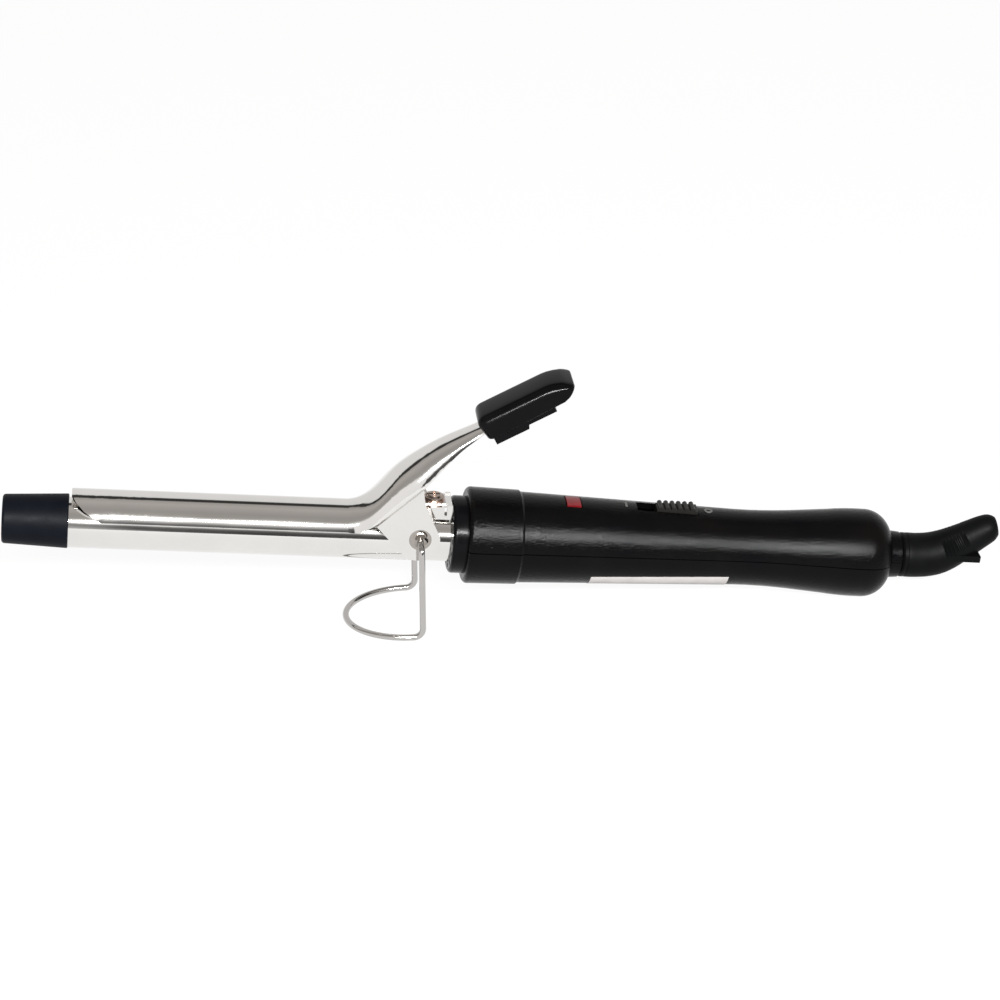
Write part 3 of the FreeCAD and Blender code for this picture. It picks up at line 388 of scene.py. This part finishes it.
def through(stations, share):
    """The smooth curve through a list of stations, at a share from 0 to 1 of the way along it."""
    along = share * (len(stations) - 1)
    n = min(int(along), len(stations) - 2)
    t = along - n
    before, first, last, after = (stations[min(max(n + k, 0), len(stations) - 1)] for k in (-1, 0, 1, 2))
    return [0.5 * (2 * b + (c - a) * t + (2 * a - 5 * b + 4 * c - d) * t ** 2
                   + (3 * b - a - 3 * c + d) * t ** 3)
            for a, b, c, d in zip(before, first, last, after)]


def lathe_faces(rings, around):
    """Faces between rings of points, with the first and the last ring closed."""
    faces = [[r * around + n, r * around + (n + 1) % around,
              (r + 1) * around + (n + 1) % around, (r + 1) * around + n]
             for r in range(rings - 1) for n in range(around)]
    return faces + [list(range(around))[::-1], [(rings - 1) * around + n for n in range(around)]]


def boot():
    """The rubber horn with its flexing grooves, its cord way and the flat tongue under it."""
    # centre x and z, radius and upward lean, from the swivel to the mouth
    rounds = [(288.8, 0, 6.75, 0), (289.4, 0, 7.2, 0), (292.6, 0, 7.2, 0), (296.6, 0.4, 7.15, 9),
              (300.2, 1.4, 7.0, 19), (303.7, 3.2, 6.6, 27), (307.3, 5.6, 6.0, 32),
              (311.0, 8.2, 5.4, 33), (314.0, 10.2, 4.95, 30), (316.0, 11.3, 4.5, 24),
              (317.2, 11.7, 3.8, 18), (317.9, 11.8, 3.15, 15)]
    bore, depth, rise, around, steps = 2.6, 13.0, 30, 72, 210
    first_groove, last_groove, pitch, groove = 301.6, 309.4, 1.1, 0.5
    # degrees that the grooves' middle is above the side, and where they fade out, as a cosine
    groove_height, groove_end = 27, 0.78
    tongue_low, tongue_high = (302.7, -6.4, 1.5), (312.7, 6.4, 3.7)
    points = []
    for n in range(steps + 1):
        x, z, radius, lean = through(rounds, n / steps)
        upward = Vector((-math.sin(math.radians(lean)), 0, math.cos(math.radians(lean))))
        inside = min(x - first_groove, last_groove - x)
        wave = 0.5 - 0.5 * math.cos(2 * math.pi * (x - first_groove) / pitch) if inside > 0 else 0
        for k in range(around):
            turn = 2 * math.pi * k / around
            facing_groove = (abs(math.cos(turn)) * math.cos(math.radians(groove_height))
                             + math.sin(turn) * math.sin(math.radians(groove_height)))
            side = max(0, min(1, 5 * (facing_groove - groove_end)))
            out = ACROSS * math.cos(turn) + upward * math.sin(turn)
            points.append(Vector((x, 0, z)) + out * (radius - groove * wave * side))
    horn = placed_mesh("horn_boot", points, lathe_faces(steps + 1, around), grip_frame)
    combine(horn, box_piece("tongue", tongue_low, tongue_high, grip_frame), "UNION")
    mouth = Matrix.Translation(Vector((rounds[-1][0], 0, rounds[-1][1])) * MM)
    way = grip_frame @ mouth @ Matrix.Rotation(math.radians(90 - rise), 4, "Y")
    combine(horn, lathe("cord_way", (0, 0), bore, -depth, 2, way), "DIFFERENCE")
    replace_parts(dress(horn, "boot_rubber", "swivel"), "cord_boot")


def lathe(name, centre, radius, low, high, matrix, around=32):
    """A plain upright cylinder."""
    points = [(centre[0] + radius * math.cos(2 * math.pi * n / around),
               centre[1] + radius * math.sin(2 * math.pi * n / around), z)
              for z in (low, high) for n in range(around)]
    return placed_mesh(name, points, lathe_faces(2, around), matrix)


def spring():
    """The clamp's leaf spring, a bent strip that leans between the saddle and the clamp's neck."""
    half, thick, level = 3.0, 0.4, 12.1
    foot, front, bend, reach = 137.6, 131.0, 1.8, 15.8
    screw_place, screw_way = 134.0, 1.35
    last_turn = math.radians(180 - 75)
    # centre of the strip in the iron's XZ plane, and how far it has turned up from level
    path = [(foot + (front - foot) * n / 4, level, 0) for n in range(5)]
    for n in range(1, 13):
        turn = last_turn * n / 12
        path.append((front - bend * math.sin(turn), level + bend - bend * math.cos(turn), turn))
    x, z, turn = path[-1]
    for n in range(1, 17):
        path.append((x - math.cos(turn) * reach * n / 16, z + math.sin(turn) * reach * n / 16, turn))
    points = []
    for x, z, turn in path:
        side = Vector((-math.sin(turn), 0, -math.cos(turn))) * thick / 2
        points += [Vector((x, y, z)) + side * way
                   for y, way in ((-half, -1), (half, -1), (half, 1), (-half, 1))]
    strip = placed_mesh("clamp_spring", points, lathe_faces(len(path), 4), iron_frame)
    way = lathe("screw_way", (screw_place, 0), screw_way, level - 2, level + 2, iron_frame)
    combine(strip, way, "DIFFERENCE")
    dress(strip, "spring_steel")
    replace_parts(strip, "leaf_spring")
    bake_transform(strip)


def skin_of(node):
    """A node's surface, ready for finding where a line meets it."""
    bpy.context.view_layer.update()
    mesh, place = frame["nodes"][node].data, frame["nodes"][node].matrix_world
    return BVHTree.FromPolygons([place @ v.co for v in mesh.vertices],
                                [list(p.vertices) for p in mesh.polygons])


def radial(turn):
    """The direction out from the grip's axis, turned in degrees from the near side down."""
    return Vector((0, -math.cos(math.radians(turn)), -math.sin(math.radians(turn))))


def skin_radius(skin, station, turn):
    """In millimetres, how far the skin is from the grip's axis."""
    start, end = on_grip(*(Vector((station, 0, 0)) + radial(turn) * 30)), on_grip(station, 0, 0)
    hit = skin.ray_cast(start, (end - start).normalized())[0]
    return (hit - end).length / MM


def sticker():
    """A blank paper label wrapped round the underside of the grip."""
    first, last, lift = 185.0, 229.6, 0.12
    # where its edge starts, in degrees under the near side, at its two ends, and how far it wraps
    upper, tilt, wrap = 30.5, -5.5, 74.0
    skin = skin_of("lower_handle_shell")
    along, around = 24, 20
    points = []
    for a in range(along + 1):
        station = first + (last - first) * a / along
        radius = skin_radius(skin, station, upper)
        for b in range(around + 1):
            out = radial(upper + tilt * a / along + wrap * b / around)
            points += [Vector((station, 0, 0)) + out * (radius + level) for level in (0.02, lift)]

    def corner(a, b, level):
        return 2 * (a * (around + 1) + b) + level

    faces = [[corner(a, b, k), corner(a + 1, b, k), corner(a + 1, b + 1, k), corner(a, b + 1, k)]
             for k in (0, 1) for a in range(along) for b in range(around)]
    faces += [[corner(a, b, 0), corner(a, b + 1, 0), corner(a, b + 1, 1), corner(a, b, 1)]
              for a in (0, along) for b in range(around)]
    faces += [[corner(a, b, 0), corner(a + 1, b, 0), corner(a + 1, b, 1), corner(a, b, 1)]
              for b in (0, around) for a in range(along)]
    piece = placed_mesh("blank_label", points, faces, grip_frame)
    piece.data.materials.append(paper())
    piece.data.shade_smooth()
    piece.data.set_sharp_from_angle(angle=math.radians(40))
    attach(piece, "iron")


def switch_marks():
    """Raised marks beside the slot: a bar for on, a ring for off."""
    sunk, proud, bar_half_width, ring_radius, hole_radius = 0.3, 0.25, 0.35, 1.35, 0.75
    skin = skin_of("upper_handle_shell")
    # the marks are a lighter grey than the grip: painted highlight for the light catching their raised
    # edges
    mark_painted_highlight = moulded("mark_painted_highlight", (0.05, 0.05, 0.048), 0.4, 0.55)
    for name, station in (("on_mark", 195.4), ("off_mark", 222.3)):
        top = skin_radius(skin, station, -90)
        low, high = top - sunk, top + proud
        if name == "on_mark":
            mark = box_piece(name, (station - bar_half_width, -1.3, low),
                             (station + bar_half_width, 1.3, high), grip_frame)
        else:
            mark = lathe(name, (station, 0), ring_radius, low, high, grip_frame)
            hole = lathe("ring_hole", (station, 0), hole_radius, low - 1, high + 1, grip_frame)
            combine(mark, hole, "DIFFERENCE")
        dress(mark, "ring_black", "iron", look=mark_painted_highlight)


thumb_cover()
boot()
spring()
sticker()
switch_marks()

# ---------------------------------------------------------------- floor, light and camera

CAMERA_AZIMUTH = -6.2      # degrees from straight across the iron, negative towards its tip
CAMERA_HEIGHT = 27.6       # degrees above the table
CAMERA_DISTANCE = 0.9045
CAMERA_TARGET = Vector((-0.0031, 0, 0.0400))
CAMERA_LENS_MM = 103.0


def from_iron(azimuth, height):
    """The direction from the iron to something seen at that azimuth and height, in degrees."""
    a, h = math.radians(azimuth), math.radians(height)
    return Vector((math.sin(a) * math.cos(h), -math.cos(a) * math.cos(h), math.sin(h)))


def facing(place, target):
    return (Vector(target) - Vector(place)).to_track_quat("-Z", "Y").to_matrix().to_4x4()


def add_camera():
    data = bpy.data.cameras.new("camera")
    data.lens = CAMERA_LENS_MM
    data.sensor_width = 36
    data.clip_start = 0.01
    camera = bpy.data.objects.new("camera", data)
    place = CAMERA_TARGET + from_iron(CAMERA_AZIMUTH, CAMERA_HEIGHT) * CAMERA_DISTANCE
    camera.matrix_world = Matrix.Translation(place) @ facing(place, CAMERA_TARGET)
    bpy.context.scene.collection.objects.link(camera)
    bpy.context.scene.camera = camera


def add_softbox(name, azimuth, height, distance, size, power):
    data = bpy.data.lights.new(name, "AREA")
    data.shape = "RECTANGLE"
    data.size, data.size_y = size
    data.energy = power
    box = bpy.data.objects.new(name, data)
    place = from_iron(azimuth, height) * distance
    box.matrix_world = Matrix.Translation(place) @ facing(place, (0, 0, 0.03))
    bpy.context.scene.collection.objects.link(box)
    return box


def add_floor():
    size = 6.0
    mesh = bpy.data.meshes.new("floor")
    mesh.from_pydata([(-size, -size, 0), (size, -size, 0), (size, size, 0), (-size, size, 0)], [],
                     [(0, 1, 2, 3)])
    floor = bpy.data.objects.new("floor", mesh)
    look = Surface("floor_white", (0.05, 0.05, 0.05), 0.7, Specular_IOR_Level=0.0,
                   Emission_Color=(1, 1, 1, 1), Emission_Strength=0.93)
    look.vary_roughness(look.noise(0.05), 0.65, 0.75)
    mesh.materials.append(look.material)
    bpy.context.scene.collection.objects.link(floor)


def add_studio():
    """A grey room: bright backdrop and front card, a dim ceiling, and a dark figure at the camera."""
    world = bpy.data.worlds.new("studio")
    world.use_nodes = True
    bpy.context.scene.world = world
    nodes, links = world.node_tree.nodes, world.node_tree.links
    split = nodes.new("ShaderNodeSeparateXYZ")
    links.new(nodes.new("ShaderNodeTexCoord").outputs["Generated"], split.inputs["Vector"])
    forward = nodes.new("ShaderNodeMath")
    forward.operation = "MULTIPLY"
    forward.inputs[1].default_value = -1
    links.new(split.outputs["Y"], forward.inputs[0])
    turn = nodes.new("ShaderNodeMath")
    turn.operation = "ARCTAN2"
    links.new(forward.outputs[0], turn.inputs[0])
    links.new(split.outputs["Z"], turn.inputs[1])

    def span(value, low, high):
        """The value's share of the way from low to high, kept within 0 and 1."""
        node = nodes.new("ShaderNodeMapRange")
        node.inputs["From Min"].default_value = low
        node.inputs["From Max"].default_value = high
        links.new(value, node.inputs["Value"])
        return node.outputs["Result"]

    def band_colours(bands):
        """The light by degrees from straight up towards the camera, as (degrees, brightness)."""
        ramp = nodes.new("ShaderNodeValToRGB")
        links.new(span(turn.outputs[0], -math.pi, math.pi), ramp.inputs["Fac"])
        stops = ramp.color_ramp.elements
        for degree, bright in bands[1:-1]:
            stops.new((degree + 180) / 360)
        for stop, (degree, bright) in zip(stops, bands):
            stop.position = (degree + 180) / 360
            warm = 0.9 if -18 < degree < 50 else 0.985
            stop.color = (bright, bright * (1 + warm) / 2, bright * warm, 1)
        return ramp.outputs["Color"]

    overhead = [(-180, 0.86), (-95, 0.86), (-45, 0.86), (-36, 0.82), (-32, 0.04), (-20, 0.04),
                (-16, 0.42), (0, 0.5), (30, 0.38), (46, 0.4), (54, 1.0)]
    figure = [(64, 1.0), (71, 0.16), (80, 0.07), (98, 0.07), (105, 0.4), (180, 0.4)]
    mix = nodes.new("ShaderNodeMix")
    mix.data_type = "RGBA"
    # the dark figure doesn't reach as far as the tip's end of the room
    links.new(span(split.outputs["X"], -0.035, 0.03), mix.inputs["Factor"])
    links.new(band_colours(overhead + [(180, 0.95)]), mix.inputs["A"])
    links.new(band_colours(overhead + figure), mix.inputs["B"])
    links.new(mix.outputs["Result"], nodes["Background"].inputs["Color"])
    nodes["Background"].inputs["Strength"].default_value = 1.0


add_floor()
add_studio()
add_softbox("key", azimuth=3, height=34, distance=1.1, size=(0.84, 0.045), power=37)
add_camera()
bpy.context.scene.view_settings.view_transform = "Standard"
